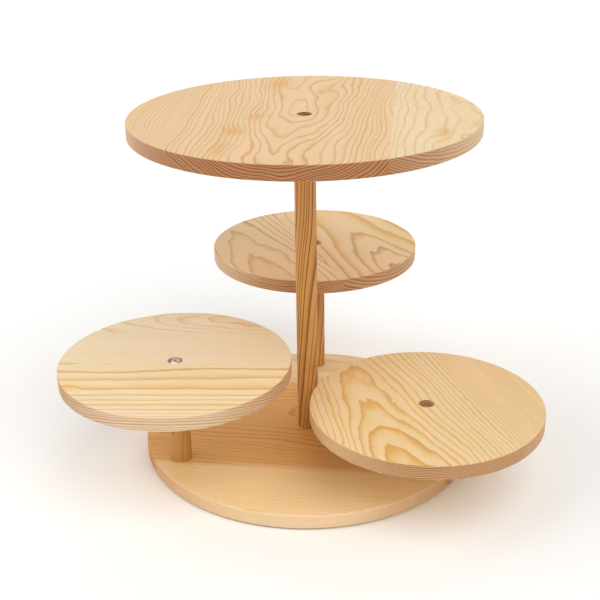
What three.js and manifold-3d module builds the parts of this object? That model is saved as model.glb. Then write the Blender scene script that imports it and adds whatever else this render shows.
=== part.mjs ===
// A four-tier turntable display stand in solid pine, +Z up, in millimetres.
//
// A round base carries a tall post at its centre and three short posts of stepped length near its
// rim, about 120 degrees apart. Each post carries a round turntable. The turntable turns on a steel sleeve
// that a furniture bolt clamps to the post, and it slides on a thin nylon washer on the post's end.
// The bolt's head sits in a counterbore in the turntable. A second bolt, from under the base, holds
// each post, and a felt pad over each of those bolts is what the stand rests on.
//
// The origin is the middle of the centre pad's underside. -Y is the front, and the highest of the
// three short posts stands at the back, on +Y.

import * as THREE from 'three';
import { mergeVertices } from 'three/addons/utils/BufferGeometryUtils.js';
import Module from 'manifold-3d';

const wasm = await Module();
wasm.setup();

// Driving dimensions.
const BOARD = 17; // thickness of the base and of every turntable
const BASE_DIAMETER = 405;
const TOP_DIAMETER = 400;
const SATELLITE_DIAMETER = 270;
const SATELLITE_RADIUS = 171; // from the base's centre to each short post
const POST_DIAMETER = 25.4;
const EDGE = 1.2; // eased edge of each board
const POST_EDGE = 0.8;
const BORE_DIAMETER = 17.5; // counterbore for a bolt's head, in a turntable and under the base

const THREAD_DIAMETER = 6; // M6
const HEAD_DIAMETER = 12;
const HEAD_HEIGHT = 3.3;
const HEAD_BRIM = 0.8; // straight edge under the head's dome
const HEAD_FLAT_DIAMETER = 6; // flat round the socket, on top of the dome
const SOCKET_ACROSS_FLATS = 4;
const SOCKET_DEPTH = 2.2;
const TIP_CHAMFER = 0.8;
const WASHER_DIAMETER = 15.6;
const WASHER_THICKNESS = 1;
const SLEEVE_DIAMETER = 10;
const INSERT_DIAMETER = 10;
const INSERT_LENGTH = 15;
const INSERT_ROOM = 2; // depth of a post's bore past its insert
const THRUST_DIAMETER = 23;
const THRUST_THICKNESS = 2.8;
const PAD_DIAMETER = 34;
const PAD_THICKNESS = 2;

const SEAT = 0.1; // gap between faces that rest on each other
const FIT = 0.3; // radial clearance round a fixed shank, sleeve or insert
const RUN = 0.1; // radial clearance between a turntable and its sleeve
const BOLT_REACH = 12; // how far each bolt's shank goes into its insert
const BASE_HEAD_DEPTH = 2; // from the underside of the base up to a bolt's head
const OVERRUN = 1; // how far a cutter stands out of the board that it cuts
const WELD = 1e-3; // vertices nearer than this are one

// Post length and head depth below the turntable's face, tier by tier.
const TIERS = [
  { name: 'top', length: 380, headDepth: 4.8, diameter: TOP_DIAMETER },
  { name: 'back', length: 161, headDepth: 4.8, diameter: SATELLITE_DIAMETER, angle: 90 },
  { name: 'left', length: 110, headDepth: 0.4, diameter: SATELLITE_DIAMETER, angle: 210 },
  { name: 'right', length: 64, headDepth: 4.8, diameter: SATELLITE_DIAMETER, angle: 327 },
];

// Facets round each kind of piece.
const BOARD_SIDES = 72;
const POST_SIDES = 28;
const METAL_SIDES = 20;
const PAD_SIDES = 24;
const DOME_STEPS = 4;

const MATERIALS = {
  pine: new THREE.MeshStandardMaterial({ color: 0xe6c08a, roughness: 0.55, metalness: 0 }),
  post: new THREE.MeshStandardMaterial({ color: 0xc08a4e, roughness: 0.55, metalness: 0 }),
  steel: new THREE.MeshStandardMaterial({ color: 0xc4c4c2, roughness: 0.3, metalness: 1 }),
  brass: new THREE.MeshStandardMaterial({ color: 0xc9a24a, roughness: 0.35, metalness: 1 }),
  nylon: new THREE.MeshStandardMaterial({ color: 0xe9e4d6, roughness: 0.5, metalness: 0 }),
  felt: new THREE.MeshStandardMaterial({ color: 0x6f6253, roughness: 0.95, metalness: 0 }),
};

// Turns a profile of [radius, height] points about Z. It starts and ends on the axis, or closes.
function turned(profile, sides) {
  const points = profile.map(([radius, height]) => new THREE.Vector2(radius, height));
  return new THREE.LatheGeometry(points, sides).rotateX(Math.PI / 2);
}

// A ring of one section: a washer, sleeve or threaded insert.
function ring(outerDiameter, innerDiameter, height, sides) {
  const outer = outerDiameter / 2;
  const inner = innerDiameter / 2;
  return turned([[inner, 0], [outer, 0], [outer, height], [inner, height], [inner, 0]], sides);
}

function toSolid(geometry) {
  const bare = geometry.clone();
  bare.deleteAttribute('normal');
  bare.deleteAttribute('uv');
  const merged = mergeVertices(bare, WELD);
  return new wasm.Manifold(new wasm.Mesh({
    numProp: 3,
    vertProperties: merged.attributes.position.array,
    triVerts: new Uint32Array(merged.index.array),
  }));
}

function toGeometry(solid) {
  const { vertProperties, triVerts } = solid.getMesh();
  const geometry = new THREE.BufferGeometry();
  geometry.setAttribute('position', new THREE.BufferAttribute(vertProperties, 3));
  geometry.setIndex(new THREE.BufferAttribute(triVerts, 1));
  geometry.computeVertexNormals();
  return geometry;
}

function piece(name, geometry, material, height = 0) {
  const mesh = new THREE.Mesh(geometry, material);
  mesh.name = name;
  mesh.position.z = height;
  return mesh;
}

// The stretch of a board's profile from the middle of its underside round the rim to its top.
function boardRim(diameter) {
  const radius = diameter / 2;
  return [
    [radius - EDGE, 0],
    [radius, EDGE],
    [radius, BOARD - EDGE],
    [radius - EDGE, BOARD],
  ];
}

// A bolt counterbore holds the head at headDepth, the head, and the washer under it.
const boltSeatDepth = (headDepth) => headDepth + HEAD_HEIGHT + WASHER_THICKNESS + 2 * SEAT;

// A turntable with a running bore for the sleeve and a counterbore for the bolt's head.
function turntableGeometry({ diameter, headDepth }) {
  const bore = SLEEVE_DIAMETER / 2 + RUN;
  const counterbore = BORE_DIAMETER / 2;
  const floor = BOARD - boltSeatDepth(headDepth);
  return turned([
    [bore, 0],
    ...boardRim(diameter),
    [counterbore, BOARD],
    [counterbore, floor],
    [bore, floor],
    [bore, 0],
  ], BOARD_SIDES);
}

// The base, with a counterbored bolt hole under each post.
function baseGeometry(postPlaces) {
  const counterbore = BORE_DIAMETER / 2;
  const shank = THREAD_DIAMETER / 2 + FIT;
  const floor = boltSeatDepth(BASE_HEAD_DEPTH);
  const board = toSolid(turned([[0, 0], ...boardRim(BASE_DIAMETER), [0, BOARD]], BOARD_SIDES));
  const cutter = turned([
    [0, -OVERRUN],
    [counterbore, -OVERRUN],
    [counterbore, floor],
    [shank, floor],
    [shank, BOARD + OVERRUN],
    [0, BOARD + OVERRUN],
  ], METAL_SIDES);
  const cuts = postPlaces.map(({ x, y }) => toSolid(cutter.clone().translate(x, y, 0)));
  return toGeometry(cuts.reduce((solid, cut) => solid.subtract(cut), board));
}

// A round post with a blind bore for a threaded insert in each end.
function postGeometry(length) {
  const radius = POST_DIAMETER / 2;
  const bore = INSERT_DIAMETER / 2 + FIT;
  const depth = INSERT_LENGTH + INSERT_ROOM;
  return turned([
    [0, depth],
    [bore, depth],
    [bore, 0],
    [radius - POST_EDGE, 0],
    [radius, POST_EDGE],
    [radius, length - POST_EDGE],
    [radius - POST_EDGE, length],
    [bore, length],
    [bore, length - depth],
    [0, length - depth],
  ], POST_SIDES);
}

// The quarter ellipse from a bolt head's brim up to the flat on its top.
function headDome() {
  const flat = HEAD_FLAT_DIAMETER / 2;
  const reach = HEAD_DIAMETER / 2 - flat;
  const rise = HEAD_HEIGHT - HEAD_BRIM;
  return Array.from({ length: DOME_STEPS + 1 }, (_, i) => {
    const turn = (i / DOME_STEPS) * (Math.PI / 2);
    return [flat + reach * Math.cos(turn), -rise + rise * Math.sin(turn)];
  });
}

// A round-headed bolt, head up, with the top of its head at height 0.
function boltGeometry(shankLength) {
  const shank = THREAD_DIAMETER / 2;
  const tip = -HEAD_HEIGHT - shankLength;
  const body = toSolid(turned([
    [0, tip],
    [shank - TIP_CHAMFER, tip],
    [shank, tip + TIP_CHAMFER],
    [shank, -HEAD_HEIGHT],
    [HEAD_DIAMETER / 2, -HEAD_HEIGHT],
    ...headDome(),
    [0, 0],
  ], METAL_SIDES));
  const socketRadius = SOCKET_ACROSS_FLATS / 2 / Math.cos(Math.PI / 6);
  const socket = new THREE.CylinderGeometry(socketRadius, socketRadius, 2 * SOCKET_DEPTH, 6);
  return toGeometry(body.subtract(toSolid(socket.rotateX(Math.PI / 2))));
}

// What holds a post to the base: pad, bolt, washer and insert, on the post's own axis.
function foot(name) {
  const group = new THREE.Group();
  const headFace = PAD_THICKNESS + SEAT + BASE_HEAD_DEPTH;
  const washer = headFace + HEAD_HEIGHT + SEAT;
  const baseTop = PAD_THICKNESS + SEAT + BOARD;
  const insert = baseTop + 2 * SEAT;
  const shankLength = insert + BOLT_REACH - headFace - HEAD_HEIGHT;
  const pad = ring(PAD_DIAMETER, 0, PAD_THICKNESS, PAD_SIDES);
  const bolt = boltGeometry(shankLength).rotateX(Math.PI);
  group.add(
    piece(`${name}_felt_pad`, pad, MATERIALS.felt),
    piece(`${name}_base_bolt`, bolt, MATERIALS.steel, headFace),
    piece(`${name}_base_washer`, boltWasher(), MATERIALS.steel, washer),
    piece(`${name}_lower_insert`, threadedInsert(), MATERIALS.brass, insert),
  );
  return group;
}

const boltWasher = () =>
  ring(WASHER_DIAMETER, THREAD_DIAMETER + 2 * FIT, WASHER_THICKNESS, METAL_SIDES);

const threadedInsert = () =>
  ring(INSERT_DIAMETER, THREAD_DIAMETER + 2 * FIT, INSERT_LENGTH, METAL_SIDES);

// A post with its turntable and the pivot between them, on the post's own axis.
function tier({ name, length, headDepth, diameter }) {
  const group = new THREE.Group();
  const postBottom = PAD_THICKNESS + BOARD + 2 * SEAT;
  const postTop = postBottom + length;
  const thrust = postTop + SEAT;
  const board = thrust + THRUST_THICKNESS + SEAT;
  const seatFloor = board + BOARD - boltSeatDepth(headDepth);
  const washer = seatFloor + SEAT;
  const headFace = board + BOARD - headDepth;
  const insert = postTop - SEAT - INSERT_LENGTH;
  const sleeveLength = washer - SEAT - thrust;
  const shankLength = headFace - HEAD_HEIGHT - postTop + BOLT_REACH;
  const geometry = {
    thrust: ring(THRUST_DIAMETER, SLEEVE_DIAMETER + 2 * FIT, THRUST_THICKNESS, METAL_SIDES),
    sleeve: ring(SLEEVE_DIAMETER, THREAD_DIAMETER + 2 * FIT, sleeveLength, METAL_SIDES),
  };
  group.add(
    piece(`${name}_post`, postGeometry(length), MATERIALS.post, postBottom),
    piece(`${name}_upper_insert`, threadedInsert(), MATERIALS.brass, insert),
    piece(`${name}_thrust_washer`, geometry.thrust, MATERIALS.nylon, thrust),
    piece(`${name}_pivot_sleeve`, geometry.sleeve, MATERIALS.steel, thrust),
    piece(`${name}_turntable`, turntableGeometry({ diameter, headDepth }), MATERIALS.pine, board),
    piece(`${name}_pivot_washer`, boltWasher(), MATERIALS.steel, washer),
    piece(`${name}_pivot_bolt`, boltGeometry(shankLength), MATERIALS.steel, headFace),
  );
  return group;
}

function place({ angle }) {
  if (angle === undefined) return new THREE.Vector3(0, 0, 0);
  const turn = THREE.MathUtils.degToRad(angle);
  return new THREE.Vector3(Math.cos(turn), Math.sin(turn), 0).multiplyScalar(SATELLITE_RADIUS);
}

const stand = new THREE.Group();
const places = TIERS.map(place);
stand.add(piece('base', baseGeometry(places), MATERIALS.pine, PAD_THICKNESS + SEAT));
TIERS.forEach((options, i) => {
  const assembly = new THREE.Group();
  assembly.add(foot(options.name), tier(options));
  assembly.position.copy(places[i]);
  stand.add(assembly);
});

export default stand;
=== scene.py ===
"""The looks of a four-tier turntable display stand in solid pine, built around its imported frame.

Every board and post is turned as a fine mesh in the place of its CAD solid. Its pine is a solid
texture: growth rings round a pith line that runs beside the board, so that one figure carries on
from a board's face round its edge and into its bore.
"""
import math
from dataclasses import dataclass

import bmesh
import bpy
from mathutils import Matrix, Vector


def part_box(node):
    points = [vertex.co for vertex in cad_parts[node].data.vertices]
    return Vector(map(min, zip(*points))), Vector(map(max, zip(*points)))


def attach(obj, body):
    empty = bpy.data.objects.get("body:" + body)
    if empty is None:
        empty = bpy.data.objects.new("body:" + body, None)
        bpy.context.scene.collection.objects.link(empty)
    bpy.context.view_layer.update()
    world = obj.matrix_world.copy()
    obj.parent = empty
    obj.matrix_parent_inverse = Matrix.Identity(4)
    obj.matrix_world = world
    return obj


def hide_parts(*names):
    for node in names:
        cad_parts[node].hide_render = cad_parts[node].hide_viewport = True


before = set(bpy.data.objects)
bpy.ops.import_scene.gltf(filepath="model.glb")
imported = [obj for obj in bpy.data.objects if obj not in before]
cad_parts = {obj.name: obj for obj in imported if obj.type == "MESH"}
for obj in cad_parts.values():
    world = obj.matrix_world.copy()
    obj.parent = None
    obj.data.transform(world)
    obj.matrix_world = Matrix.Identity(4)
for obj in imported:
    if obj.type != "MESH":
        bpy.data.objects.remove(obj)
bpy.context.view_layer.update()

MM = 0.001  # lengths below are in millimetres unless they say otherwise

# Camera: in front of the stand, a little to its right, looking down at it. Metres and degrees.
CAMERA_PLACE = (0.0833, -1.2209, 0.7251)
CAMERA_HEADING = 4.28  # to the left of +Y
CAMERA_PITCH = 23.59  # down
CAMERA_ROLL = -0.89
CAMERA_LENS = 66.36  # on the default 36 mm sensor

# Light comes from all round, as in a white tent. Each light has its azimuth, from the front to the
# right, its elevation and its spread, in degrees, and its strength.
WORLD_STRENGTH = 0.4
BACKDROP_STRENGTH = 1.0
LIGHTS = {
    "key": (40, 50, 60, 1.6),
    "side": (-85, 38, 60, 1.2),
    "rear": (180, 36, 60, 0.4),
}

# Geometry that the frame's boxes don't tell.
BOARD_EDGE = 1.1  # rounding of a turntable's edges
BASE_EDGE = 1.9
POST_EDGE = 0.8
HOLE_EDGE = 0.4
RING_EDGE = 0.3  # of a thrust washer
STEEL_RING_EDGE = 0.15
PAD_EDGE = 0.4
COUNTERBORE_RADIUS = 8.75
SHANK_RADIUS = 3
HEAD_HEIGHT = 3.3
HEAD_BRIM = 0.8
HEAD_FLAT_RADIUS = 3
SOCKET_ACROSS_FLATS = 4
SOCKET_DEPTH = 2.2
SOCKET_POINT = 0.6  # depth of the cone that the drill leaves under the socket
INSERT_ROOM = 2  # depth of a post's bore past its insert
FIT = 0.3  # radial clearance round a fixed shank, sleeve or insert
RUN = 0.1  # radial clearance between a turntable and its sleeve
SEAT = 0.1  # gap between faces that rest on each other
OVERRUN = 1  # how far a cutter stands out of the piece that it cuts

# Fineness of the meshes.
BOARD_SEGMENTS = 216
ROUND_SEGMENTS = 72
ARC_STEPS = 6
DOME_STEPS = 8
HOLD = 0.25  # distance of the loops that keep flat faces flat beside a rounded edge
SHARP_ANGLE = math.radians(32)
ON_AXIS = 1e-6  # a point this near the axis is on it

FLOOR_REACH = 12.0  # metres from the middle to each side

TIERS = ("top", "back", "left", "right")


# --- Meshes -------------------------------------------------------------------------------------


def rounded(corners):
    """The points of an outline whose (radius, height, rounding) corners become arcs."""
    points = []
    for i, (x, z, rounding) in enumerate(corners):
        corner = Vector((x, z))
        if rounding == 0:
            points.append(corner)
            continue
        before = (Vector(corners[i - 1][:2]) - corner).normalized()
        after = (Vector(corners[(i + 1) % len(corners)][:2]) - corner).normalized()
        half = before.angle(after) / 2
        reach = rounding / math.tan(half)
        centre = corner + (before + after).normalized() * rounding / math.sin(half)
        start = corner + before * reach - centre
        end = corner + after * reach - centre
        points.append(centre + start + before * HOLD)
        turns = [start.slerp(end, step / ARC_STEPS) for step in range(ARC_STEPS + 1)]
        points += [centre + turn.normalized() * rounding for turn in turns]
        points.append(centre + end + after * HOLD)
    return points


def turned(name, outline, segments, place, closed=True):
    """A solid of revolution about Z. The outline, in mm, runs counter-clockwise: out, up and in."""
    shape = bmesh.new()
    loops = []
    turns = [2 * math.pi * i / segments for i in range(segments)]
    for x, z in outline:
        if x < ON_AXIS:
            loops.append([shape.verts.new((0, 0, z * MM))])
            continue
        ring = [(x * MM * math.cos(turn), x * MM * math.sin(turn), z * MM) for turn in turns]
        loops.append([shape.verts.new(point) for point in ring])
    pairs = list(zip(loops, loops[1:]))
    if closed:
        pairs.append((loops[-1], loops[0]))
    for lower, upper in pairs:
        for i in range(segments):
            j = (i + 1) % segments
            corners = [
                lower[i % len(lower)],
                lower[j % len(lower)],
                upper[j % len(upper)],
                upper[i % len(upper)],
            ]
            face = list(dict.fromkeys(corners))
            if len(face) > 2:
                shape.faces.new(face)
    return finished(name, shape, place)


def finished(name, shape, place):
    """The object made of a bmesh, at its place in metres."""
    mesh = bpy.data.meshes.new(name)
    shape.to_mesh(mesh)
    shape.free()
    smooth(mesh)
    piece = bpy.data.objects.new(name, mesh)
    piece.location = place
    bpy.context.scene.collection.objects.link(piece)
    return piece


def smooth(mesh):
    mesh.shade_smooth()
    mesh.set_sharp_from_angle(angle=SHARP_ANGLE)


def cut(piece, cutters):
    """Subtracts the cutters from a piece, and removes them."""
    bpy.context.view_layer.update()
    for cutter in cutters:
        modifier = piece.modifiers.new("cut", "BOOLEAN")
        modifier.operation = "DIFFERENCE"
        modifier.solver = "EXACT"
        modifier.object = cutter
    graph = bpy.context.evaluated_depsgraph_get()
    mesh = bpy.data.meshes.new_from_object(piece.evaluated_get(graph))
    piece.modifiers.clear()
    piece.data = mesh
    smooth(mesh)
    for cutter in cutters:
        bpy.data.objects.remove(cutter)


def measured(node):
    """A round node's place, at the middle of its underside in metres, and its radius and height in mm."""
    low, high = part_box(node)
    middle = (low + high) / 2
    return Vector((middle.x, middle.y, low.z)), (high.x - low.x) / 2 / MM, (high.z - low.z) / MM


def stands_for(piece, node, body, material):
    """Puts a piece in the place of a CAD node, on its body, with its material."""
    piece.data.materials.clear()
    piece.data.materials.append(material)
    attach(piece, body)
    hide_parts(node)


# --- Node trees ---------------------------------------------------------------------------------


class Term:
    """An output socket of a node tree, which arithmetic turns into Math nodes."""

    def __init__(self, tree, socket):
        self.tree = tree
        self.socket = socket

    def __add__(self, other):
        return self.tree.math("ADD", self, other)

    def __sub__(self, other):
        return self.tree.math("SUBTRACT", self, other)

    def __rsub__(self, other):
        return self.tree.math("SUBTRACT", other, self)

    def __mul__(self, other):
        return self.tree.math("MULTIPLY", self, other)

    def __truediv__(self, other):
        return self.tree.math("DIVIDE", self, other)

    def __gt__(self, other):
        return self.tree.math("GREATER_THAN", self, other)

    __radd__ = __add__
    __rmul__ = __mul__


class Tree:
    """A material's node tree. Each method adds a node and returns what comes out of it."""

    def __init__(self, name):
        self.material = bpy.data.materials.new(name)
        self.material.use_nodes = True
        self.nodes = self.material.node_tree.nodes
        self.nodes.clear()

    def feed(self, socket, value):
        if isinstance(value, Term):
            self.material.node_tree.links.new(value.socket, socket)
        else:
            socket.default_value = value

    def add(self, kind, output, inputs, **settings):
        node = self.nodes.new("ShaderNode" + kind)
        for name, value in settings.items():
            setattr(node, name, value)
        for key, value in inputs.items():
            self.feed(node.inputs[key], value)
        return Term(self, node.outputs[output])

    def math(self, operation, *values):
        return self.add("Math", 0, dict(enumerate(values)), operation=operation)

    def dot(self, vector, direction):
        return self.add("VectorMath", "Value", {0: vector, 1: direction}, operation="DOT_PRODUCT")

    def vector(self, x, y, z):
        return self.add("CombineXYZ", 0, {0: x, 1: y, 2: z})

    def coordinates(self, kind="Object"):
        return self.add("TexCoord", kind, {})

    def noise(self, vector, detail=1.0, output="Fac"):
        inputs = {"Vector": vector, "Scale": 1.0, "Detail": detail}
        return self.add("TexNoise", output, inputs)

    def random(self, number):
        """One fixed random number from 0 to 1 for each whole number."""
        return self.add("TexWhiteNoise", "Value", {"W": number}, noise_dimensions="1D")

    def split(self, vector):
        return [self.add("SeparateXYZ", axis, {0: vector}) for axis in "XYZ"]

    def between(self, value, low, high):
        """0 below low, 1 above high, and smooth between them."""
        inputs = {"Value": value, "From Min": low, "From Max": high}
        return self.add("MapRange", "Result", inputs, interpolation_type="SMOOTHSTEP")

    def blend(self, factor, first, second, mode="MIX"):
        """Two colours mixed. Sockets 6 and 7 are the Mix node's colours, and 2 its colour result."""
        return self.add("Mix", 2, {0: factor, 6: first, 7: second}, data_type="RGBA", blend_type=mode)

    def multiply(self, first, second):
        return self.blend(1.0, first, second, "MULTIPLY")

    def bump(self, height, distance):
        inputs = {"Height": height, "Distance": distance * MM, "Strength": 1.0}
        return self.add("Bump", "Normal", inputs)

    def surface(self, **inputs):
        """The Principled shader and the output node. Names use _ for the socket's spaces."""
        named = {name.replace("_", " "): value for name, value in inputs.items()}
        shader = self.add("BsdfPrincipled", "BSDF", named)
        output = self.nodes.new("ShaderNodeOutputMaterial")
        self.feed(output.inputs["Surface"], shader)
        return self.material


def colour(red, green, blue):
    """A colour for a socket, from the usual 0 to 255 display numbers."""

    def linear(level):
        level /= 255
        return level / 12.92 if level <= 0.04045 else ((level + 0.055) / 1.055) ** 2.4

    return (linear(red), linear(green), linear(blue), 1.0)


# --- Pine ---------------------------------------------------------------------------------------


@dataclass
class Stave:
    """One plank of an edge-glued board, and the tree that it came from. Lengths in mm.

    until is where it ends, across the grain. The pith runs along the grain, at pith across and at
    depth below the board's underside; slope and tilt turn it aside and down, as a share of the
    way along, and skew widens the rings on one side of it and narrows them on the other.
    spacing is a year's growth, thinning how much faster rings follow one another 100 mm out, and
    phase moves them outwards by that share of a ring.
    wander and ripple are how far the trunk bends and how much its rings waver. glow is how much
    of a ring darkens to honey before its thin latewood line, whose strength is line. tint
    multiplies the wood's colours, and seed picks its noise.
    """

    until: float
    pith: float
    depth: float
    spacing: float = 3.6
    thinning: float = 0.1
    phase: float = 0.0
    slope: float = 0.0
    tilt: float = 0.03
    skew: float = 0.0
    wander: float = 6.0
    ripple: float = 1.6
    glow: float = 0.6
    line: float = 1.0
    tint: tuple = (1.0, 1.0, 1.0, 1.0)
    seed: float = 0.0


@dataclass
class Knot:
    """A small knot or resin streak that the rings swell round, with its place and size in mm.

    swell is how far it pushes the rings, in mm, and stain how much it darkens the wood to honey.
    """

    along: float
    across: float
    length: float
    width: float
    swell: float
    stain: float


@dataclass
class Pine:
    """A board's or a post's wood: which way its grain runs, its staves, knots and colours.

    rim_contrast is how much stronger its latewood shows round its rim than on its faces, and seam
    the width in mm over which the tint changes between two staves.
    """

    name: str
    along: tuple
    across: tuple
    staves: tuple
    pale: tuple
    honey: tuple
    latewood: tuple
    end_grain: tuple
    knots: tuple = ()
    rim_contrast: float = 1.0
    seam: float = 0.5
    roughness: float = 0.5


RIM_PAINTED_SHADE = colour(242, 239, 248)  # painted shade: a board's turned rim, which faces sideways, is tinted a little darker and cooler than its faces
SEED_STRIDE = 371.0  # how far one seed's noise lies from the next one's
STAVE_NUMBERS = (
    "pith", "depth", "spacing", "thinning", "phase", "slope", "tilt", "skew",
    "wander", "ripple", "glow", "line", "seed",
)


def stave_values(tree, across, staves, seam):
    """Each number and the tint of the stave that a point lies in, stepping at the seams."""
    beyond = [across > stave.until for stave in staves[:-1]]
    values = {}
    for key in STAVE_NUMBERS:
        levels = [getattr(stave, key) for stave in staves]
        value = levels[0]
        for step, low, high in zip(beyond, levels, levels[1:]):
            if high != low:
                value = step * (high - low) + value
        values[key] = value
    tint = staves[0].tint
    for before, stave in zip(staves, staves[1:]):
        step = tree.between(across, before.until - seam, before.until + seam)
        tint = tree.blend(step, tint, stave.tint)
    return values, tint


def knot_field(tree, along, across, knots):
    """How much the knots swell the rings, in mm, and how much they stain the wood."""
    swell = 0.0
    stain = 0.0
    for knot in knots:
        x = (along - knot.along) / knot.length
        y = (across - knot.across) / knot.width
        nearness = tree.math("EXPONENT", (x * x + y * y) * -1.0)
        swell = nearness * knot.swell + swell
        stain = nearness * knot.stain + stain
    return swell, stain


def pine_material(pine):
    """The solid wood: u runs along the grain, v across it and w up through the board, in mm."""
    tree = Tree(pine.name)
    point = tree.coordinates()
    normal = tree.coordinates("Normal")
    up = Vector(pine.along).cross(Vector(pine.across))
    u = tree.dot(point, Vector(pine.along) / MM)
    v = tree.dot(point, Vector(pine.across) / MM)
    w = tree.dot(point, up / MM)
    stave, tint = stave_values(tree, v, pine.staves, pine.seam)
    shift = stave["seed"] * SEED_STRIDE

    # The pith line bends slowly along the grain, and the rings waver quickly.
    bend = tree.split(tree.noise(tree.vector(u / 150 + shift, v / 60, w / 60), 1.0, "Color"))
    waver = tree.split(tree.noise(tree.vector(u / 30 + shift, v / 12, w / 12), 2.0, "Color"))
    swell, stain = knot_field(tree, u + (waver[0] - 0.5) * 12, v + (waver[1] - 0.5) * 8, pine.knots)
    side = v - stave["pith"] - u * stave["slope"] + (bend[0] - 0.5) * stave["wander"]
    side = side + tree.math("ABSOLUTE", side) * stave["skew"]
    below = w + stave["depth"] + u * stave["tilt"] + (bend[1] - 0.5) * stave["wander"]
    below = below + (waver[2] - 0.5) * stave["ripple"]
    radius = tree.math("SQRT", side * side + below * below) + swell

    # Growth rings. Each one warms outwards to its thin latewood line, and stops short there.
    growth = tree.noise(tree.vector(radius / 22 + shift, 0.0, 0.0), 1.0)
    age = (radius - stave["depth"]) * (radius * stave["thinning"] / 100 + 1) / stave["spacing"]
    age = age + growth * 5 - stave["phase"]
    year = tree.math("FLOOR", age)
    season = age - year
    vigour = tree.random(year + shift + 0.3)
    spread = tree.random(year + shift + 0.6)
    close = 1 - tree.between(season, 0.96, 1.0)
    glow = tree.between(season, 0.75 - spread * 0.55, 0.97) * close * (spread * 0.7 + 0.3) * stave["glow"]
    rim = (1 - tree.math("ABSOLUTE", tree.dot(normal, up))) * pine.rim_contrast
    edge = 0.72 - spread * 0.1 - rim * 0.12
    line = tree.between(season, edge, 0.93) * close * (vigour * 0.7 + 0.3 + rim * 0.4) * stave["line"]

    # Fibres, resin canals and a slow drift of tone.
    fibre = tree.noise(tree.vector(u / 40, v / 0.9 + shift, w / 0.9), 3.0)
    canal = tree.between(tree.noise(tree.vector(u / 4, v / 0.35, w / 0.35), 0.0), 0.70, 0.78)
    drift = tree.noise(tree.vector(u / 170 + shift, v / 22, w / 22), 2.0)
    fleck = tree.noise(tree.vector(u / 12, v / 3 + shift, w / 3), 2.0)

    shade = tree.blend(tree.math("MINIMUM", glow + stain, 1.0), pine.pale, pine.honey)
    shade = tree.blend(line, shade, pine.latewood)
    cast = tree.blend(tree.between(drift, 0.3, 0.7), colour(255, 250, 250), colour(250, 247, 234))
    shade = tree.multiply(tree.multiply(shade, cast), tint)
    streak = (fibre - 0.5) * 0.14 + (fleck - 0.5) * 0.06 + 1.0 - canal * (line + 0.2) * 0.2
    shade = tree.multiply(shade, tree.vector(streak, streak, streak))
    facing = tree.math("ABSOLUTE", tree.dot(normal, pine.along))
    deepened = tree.blend(line, pine.end_grain, tree.multiply(pine.end_grain, pine.end_grain))
    # Painted shade: surfaces facing sideways, the rim, are tinted darker and cooler than the faces.
    shade = tree.blend(rim, shade, tree.multiply(shade, RIM_PAINTED_SHADE))
    shade = tree.blend(tree.between(facing, 0.2, 0.95), shade, tree.multiply(shade, deepened))

    return tree.surface(
        Base_Color=shade,
        Roughness=(fibre - line * 0.5) * 0.1 + pine.roughness,
        Normal=tree.bump(line * 0.6 + fibre * 0.8 - canal * 0.5, 0.05),
    )


def flat_grain(degrees):
    """The along and across directions of a board whose grain runs at that angle from +X."""
    angle = math.radians(degrees)
    return (math.cos(angle), math.sin(angle), 0.0), (math.sin(angle), -math.cos(angle), 0.0)


def board_pine(name, degrees, staves, knots=(), **looks):
    """A board's wood: its staves lie side by side, across the grain."""
    along, across = flat_grain(degrees)
    return Pine(name, along, across, staves, knots=knots, **looks)


# The casts of pine.
PEACH = {
    "pale": colour(233, 210, 171),
    "honey": colour(226, 183, 119),
    "latewood": colour(213, 163, 101),
    "end_grain": colour(212, 178, 143),
}
STRAW = {
    "pale": colour(236, 210, 163),
    "honey": colour(227, 178, 92),
    "latewood": colour(200, 142, 70),
    "end_grain": colour(230, 210, 192),
}
BLOND = {
    "pale": colour(238, 222, 192),
    "honey": colour(232, 196, 124),
    "latewood": colour(200, 152, 90),
    "end_grain": colour(232, 212, 198),
}
CHESTNUT = {
    "pale": colour(216, 160, 88),
    "honey": colour(186, 118, 44),
    "latewood": colour(126, 66, 12),
    "end_grain": colour(200, 170, 150),
}
GOLD = {**STRAW, "latewood": colour(211, 155, 70)}
UMBER = {**STRAW, "pale": colour(236, 207, 163), "latewood": colour(186, 128, 66)}
TAN = {**BLOND, "pale": colour(247, 223, 190)}

LAST = 999.0  # the last stave of a board runs on past its rim

# The right board is one plank, calmer past its middle.
RIGHT_TREE = {
    "pith": -66, "depth": 200, "spacing": 3.6, "thinning": 0.3, "phase": 0.6,
    "slope": 0.04, "tilt": 0.035, "skew": -0.12, "wander": 7, "seed": 24,
}

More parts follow.
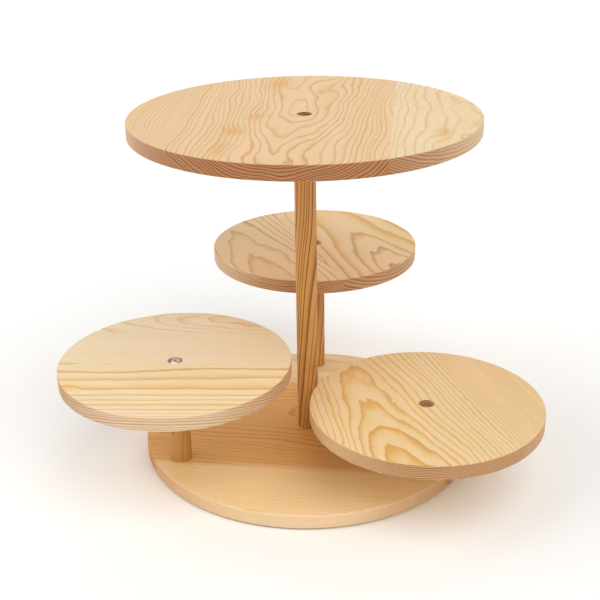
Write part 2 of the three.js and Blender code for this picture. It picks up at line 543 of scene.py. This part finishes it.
BOARDS = {
    "top": board_pine(
        "top_board_pine",
        88,
        (
            Stave(100, -8, 130, 3.3, thinning=0.05, tilt=-0.03, wander=20, ripple=2.4, glow=0.6, line=0.9,
                  tint=colour(253, 241, 232), seed=20),
            Stave(LAST, 178, 150, 4.0, tilt=0.02, wander=12, ripple=3, glow=0.4, line=0.7, seed=2),
        ),
        (
            Knot(150, -45, 34, 12, 1.5, 0.9),
            Knot(-15, -52, 14, 9, 2.0, 0.8),
            Knot(-78, -68, 18, 12, 2.5, 0.9),
            Knot(-150, -72, 22, 8, 1.5, 0.6),
            Knot(-72, 156, 20, 8, 3.0, 1.0),
            Knot(105, 8, 12, 7, 1.5, 0.5),
        ),
        rim_contrast=1.5,
        **PEACH,
    ),
    "back": board_pine(
        "back_board_pine",
        115,
        (
            Stave(-14, -88, 200, 3.8, tilt=0.035, wander=8, glow=0.5, line=1.0, seed=28),
            Stave(LAST, 68, 200, 4.2, tilt=0.035, wander=6, glow=0.9, line=0.8, seed=38),
        ),
        rim_contrast=1.0,
        **UMBER,
    ),
    "left": board_pine(
        "left_board_pine",
        2,
        (
            Stave(-76, -112, 160, 3.6, tilt=-0.05, wander=8, glow=0.5, line=0.4, seed=5),
            Stave(8, 260, 90, 2.2, thinning=0.0, tilt=0.01, wander=8, glow=0.3, line=0.35, seed=6),
            Stave(LAST, -25, 400, 3.0, thinning=0.0, tilt=0.004, wander=3, ripple=0.9, glow=1.0, line=0.7,
                  tint=colour(255, 250, 238), seed=23),
        ),
        (Knot(-112, 68, 14, 8, 2.0, 0.8),),
        **BLOND,
    ),
    "right": board_pine(
        "right_board_pine",
        110,
        (
            Stave(64, **RIGHT_TREE, glow=0.8),
            Stave(LAST, **RIGHT_TREE, glow=0.4, line=0.5, tint=colour(255, 250, 248)),
        ),
        rim_contrast=2.2,
        seam=4.0,
        **GOLD,
    ),
}
BASE_PINE = board_pine(
    "base_pine",
    -3,
    (
        Stave(-112, -160, 190, 4.0, tilt=0.02, wander=8, glow=0.4, line=0.5,
              tint=colour(249, 250, 234), seed=8),
        Stave(104, -20, 170, 4.0, tilt=-0.03, wander=10, glow=0.5, line=0.7,
              tint=colour(240, 210, 156), seed=9),
        Stave(LAST, 260, 200, 2.4, thinning=0.0, tilt=0.004, wander=6, ripple=2.0, glow=0.15, line=0.25,
              tint=colour(255, 250, 229), seed=10),
    ),
    rim_contrast=0.6,
    seam=9.0,
    **TAN,
)

POST_LOOKS = {
    "top": {"degrees": 345, "slope": 0.08, "glow": 1.5, "line": 1.25, "seed": 15},
    "back": {"degrees": 350, "slope": 0.05, "glow": 1.1, "line": 1.0, "seed": 12},
    "left": {
        "degrees": 43, "slope": 0.02, "glow": 0.5, "line": 0.45,
        "tint": colour(243, 239, 240), "seed": 13,
    },
    "right": {"degrees": 300, "slope": 0.04, "glow": 0.9, "line": 0.8, "seed": 14},
}


def post_pine(tier, degrees, **looks):
    """A dowel's wood: the grain runs up it, and the pith lies outside it at that angle from +X."""
    angle = math.radians(degrees)
    across = (math.cos(angle), math.sin(angle), 0.0)
    stave = Stave(LAST, -62, 10, 4.4, thinning=0.0, tilt=0.0, wander=14, ripple=1.0, **looks)
    return Pine(f"{tier}_post_pine", (0.0, 0.0, 1.0), across, (stave,), rim_contrast=0.0, **CHESTNUT)


# --- Metal, nylon and felt ------------------------------------------------------------------------


def metal_material(name, tone, shadow, roughness):
    """Plated or machined metal with a fine tumbled grain and slightly cloudy tone and gloss."""
    tree = Tree(name)
    x, y, z = [axis / MM for axis in tree.split(tree.coordinates())]
    cloud = tree.noise(tree.vector(x / 3, y / 3, z / 3), 3.0)
    grain = tree.noise(tree.vector(x / 0.25, y / 0.25, z / 0.25), 2.0)
    return tree.surface(
        Base_Color=tree.blend(tree.between(cloud, 0.35, 0.65), shadow, tone),
        Metallic=1.0,
        Roughness=cloud * 0.2 + grain * 0.1 + (roughness - 0.15),
        Normal=tree.bump(grain, 0.01),
    )


def nylon_material():
    tree = Tree("natural_nylon")
    x, y, z = [axis / MM for axis in tree.split(tree.coordinates())]
    cloud = tree.noise(tree.vector(x / 5, y / 5, z / 5), 2.0)
    grain = tree.noise(tree.vector(x / 0.4, y / 0.4, z / 0.4), 2.0)
    return tree.surface(
        Base_Color=tree.blend(cloud, colour(222, 216, 200), colour(240, 237, 228)),
        Roughness=cloud * 0.2 + 0.35,
        Normal=tree.bump(grain, 0.02),
    )


def felt_material():
    tree = Tree("wool_felt")
    x, y, z = [axis / MM for axis in tree.split(tree.coordinates())]
    matted = tree.noise(tree.vector(x / 1.2, y / 1.2, z / 1.2), 4.0)
    hair = tree.noise(tree.vector(x / 0.3, y / 1.5, z / 0.3), 2.0)
    return tree.surface(
        Base_Color=tree.blend(matted, colour(86, 74, 60), colour(134, 118, 98)),
        Roughness=0.95,
        Sheen_Weight=0.4,
        Normal=tree.bump(matted + hair * 0.5, 0.25),
    )


# --- The stand's pieces ---------------------------------------------------------------------------


def build_turntable(tier):
    """A turntable's board, with the bore for its sleeve and the counterbore for its bolt's head."""
    node = f"{tier}_turntable"
    place, radius, thickness = measured(node)
    bore = measured(f"{tier}_pivot_sleeve")[1] + RUN
    floor = measured(f"{tier}_pivot_washer")[0].z / MM - place.z / MM - SEAT
    outline = rounded([
        (bore, 0, 0),
        (radius, 0, BOARD_EDGE),
        (radius, thickness, BOARD_EDGE),
        (COUNTERBORE_RADIUS, thickness, HOLE_EDGE),
        (COUNTERBORE_RADIUS, floor, 0),
        (bore, floor, 0),
    ])
    piece = turned(f"{tier}_board", outline, BOARD_SEGMENTS, place)
    stands_for(piece, node, node, pine_material(BOARDS[tier]))


def build_base():
    """The base board, with a counterbored hole from below for each post's bolt."""
    place, radius, thickness = measured("base")
    outline = rounded([
        (0, 0, 0),
        (radius, 0, BASE_EDGE),
        (radius, thickness, BASE_EDGE),
        (0, thickness, 0),
    ])
    piece = turned("base_board", outline, BOARD_SEGMENTS, place, closed=False)
    cut(piece, [base_bolt_hole(tier, place.z, thickness) for tier in TIERS])
    stands_for(piece, "base", "stand", pine_material(BASE_PINE))


def base_bolt_hole(tier, underside, thickness):
    """The cutter for a bolt's counterbore, from below, and for its shank."""
    washer, _, washer_height = measured(f"{tier}_base_washer")
    floor = (washer.z - underside) / MM + washer_height + SEAT
    shank = SHANK_RADIUS + FIT
    outline = [
        (0, -OVERRUN),
        (COUNTERBORE_RADIUS, -OVERRUN),
        (COUNTERBORE_RADIUS, floor),
        (shank, floor),
        (shank, thickness + OVERRUN),
        (0, thickness + OVERRUN),
    ]
    place = (washer.x, washer.y, underside)
    return turned(f"{tier}_hole", outline, ROUND_SEGMENTS, place, closed=False)


def build_post(tier, pine):
    """A dowel with eased ends and a bore in each end for its insert."""
    node = f"{tier}_post"
    place, radius, length = measured(node)
    _, insert_radius, insert_length = measured(f"{tier}_lower_insert")
    bore = insert_radius + FIT
    depth = insert_length + INSERT_ROOM
    outline = rounded([
        (0, depth, 0),
        (bore, depth, 0),
        (bore, 0, 0),
        (radius, 0, POST_EDGE),
        (radius, length, POST_EDGE),
        (bore, length, 0),
        (bore, length - depth, 0),
        (0, length - depth, 0),
    ])
    piece = turned(f"{tier}_dowel", outline, ROUND_SEGMENTS, place, closed=False)
    stands_for(piece, node, "stand", pine_material(pine))


def build_bolt(tier, steel):
    """The furniture bolt in a turntable's counterbore, with its domed head and hexagon socket."""
    node = f"{tier}_pivot_bolt"
    place, radius, height = measured(node)
    brim = height - HEAD_HEIGHT
    rise = HEAD_HEIGHT - HEAD_BRIM
    turns = [math.pi / 2 * step / DOME_STEPS for step in range(DOME_STEPS + 1)]
    dome = [
        (
            HEAD_FLAT_RADIUS + (radius - HEAD_FLAT_RADIUS) * math.cos(turn),
            height - rise + rise * math.sin(turn),
        )
        for turn in turns
    ]
    outline = [(0, 0), (SHANK_RADIUS, 0), (SHANK_RADIUS, brim), (radius, brim), *dome, (0, height)]
    piece = turned(f"{tier}_bolt", outline, ROUND_SEGMENTS, place, closed=False)
    socket_radius = SOCKET_ACROSS_FLATS / 2 / math.cos(math.pi / 6)
    socket = [
        (0, height - SOCKET_DEPTH - SOCKET_POINT),
        (socket_radius, height - SOCKET_DEPTH),
        (socket_radius, height + OVERRUN),
        (0, height + OVERRUN),
    ]
    cut(piece, [turned(f"{tier}_socket", socket, 6, place, closed=False)])
    stands_for(piece, node, "stand", steel)


def build_ring(tier, part, inner, rounding, material):
    """A washer or pad with eased edges; an inner radius of 0 makes it a solid disc."""
    node = f"{tier}_{part}"
    place, radius, height = measured(node)
    outline = rounded([
        (inner, 0, 0),
        (radius, 0, rounding),
        (radius, height, rounding),
        (inner, height, 0),
    ])
    piece = turned(f"{tier}_{part}_fine", outline, ROUND_SEGMENTS, place, closed=inner > 0)
    stands_for(piece, node, "stand", material)


def finish_cad_node(node, material):
    """Gives a material to a CAD solid that keeps its own mesh."""
    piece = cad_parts[node]
    piece.data.materials.clear()
    piece.data.materials.append(material)


# --- Stage ----------------------------------------------------------------------------------------


def build_camera():
    """The camera, and display colours that the view doesn't alter."""
    data = bpy.data.cameras.new("camera")
    data.lens = CAMERA_LENS
    camera = bpy.data.objects.new("camera", data)
    turn = Matrix.Rotation(math.radians(CAMERA_HEADING), 4, "Z")
    nod = Matrix.Rotation(math.radians(90 - CAMERA_PITCH), 4, "X")
    roll = Matrix.Rotation(math.radians(CAMERA_ROLL), 4, "Z")
    camera.matrix_world = Matrix.Translation(CAMERA_PLACE) @ turn @ nod @ roll
    bpy.context.scene.collection.objects.link(camera)
    bpy.context.scene.camera = camera
    bpy.context.scene.view_settings.view_transform = "Standard"


def build_floor():
    """A large matt floor, white with the faintest unevenness."""
    mesh = bpy.data.meshes.new("floor")
    corners = [(FLOOR_REACH * x, FLOOR_REACH * y, 0) for x, y in ((-1, -1), (1, -1), (1, 1), (-1, 1))]
    mesh.from_pydata(corners, [], [(0, 1, 2, 3)])
    tree = Tree("floor_paint")
    speckle = tree.noise(tree.dot(tree.coordinates(), (1.0, 1.0, 1.0)) * 4)
    mesh.materials.append(tree.surface(
        Base_Color=tree.blend(speckle, colour(251, 251, 250), colour(253, 253, 252)),
        Roughness=0.8,
    ))
    floor = bpy.data.objects.new("floor", mesh)
    bpy.context.scene.collection.objects.link(floor)


def sky_light(name, azimuth, elevation, spread, strength):
    """A wide, soft light from far off, like a studio's softbox. Degrees."""
    data = bpy.data.lights.new(name, "SUN")
    data.angle = math.radians(spread)
    data.energy = strength
    light = bpy.data.objects.new(name, data)
    turn = math.radians(azimuth)
    rise = math.radians(elevation)
    source = Vector((math.sin(turn) * math.cos(rise), -math.cos(turn) * math.cos(rise), math.sin(rise)))
    light.rotation_euler = source.to_track_quat("Z", "Y").to_euler()
    bpy.context.scene.collection.objects.link(light)


def build_world():
    """Soft light from all round, and plain white behind the floor's far edge."""
    world = bpy.data.worlds.new("studio")
    world.use_nodes = True
    nodes = world.node_tree.nodes
    links = world.node_tree.links
    background = nodes["Background"]
    background.inputs["Color"].default_value = (1.0, 1.0, 1.0, 1.0)
    strength = nodes.new("ShaderNodeMapRange")
    strength.inputs["To Min"].default_value = WORLD_STRENGTH
    strength.inputs["To Max"].default_value = BACKDROP_STRENGTH
    seen = nodes.new("ShaderNodeLightPath").outputs["Is Camera Ray"]
    links.new(seen, strength.inputs["Value"])
    links.new(strength.outputs["Result"], background.inputs["Strength"])
    bpy.context.scene.world = world


def build_lights():
    for name, numbers in LIGHTS.items():
        sky_light(name, *numbers)


def main():
    build_camera()
    build_floor()
    build_world()
    build_lights()
    steel = metal_material("zinc_plated_steel", colour(240, 236, 228), colour(206, 201, 190), 0.42)
    brass = metal_material("machined_brass", colour(224, 196, 128), colour(196, 164, 98), 0.32)
    nylon = nylon_material()
    felt = felt_material()
    build_base()
    for tier in TIERS:
        sleeve_radius = measured(f"{tier}_pivot_sleeve")[1]
        build_post(tier, post_pine(tier, **POST_LOOKS[tier]))
        build_turntable(tier)
        build_bolt(tier, steel)
        build_ring(tier, "pivot_washer", SHANK_RADIUS + FIT, STEEL_RING_EDGE, steel)
        build_ring(tier, "thrust_washer", sleeve_radius + FIT, RING_EDGE, nylon)
        build_ring(tier, "felt_pad", 0, PAD_EDGE, felt)
        for part in ("base_bolt", "base_washer", "pivot_sleeve"):
            finish_cad_node(f"{tier}_{part}", steel)
        for part in ("lower_insert", "upper_insert"):
            finish_cad_node(f"{tier}_{part}", brass)


main()
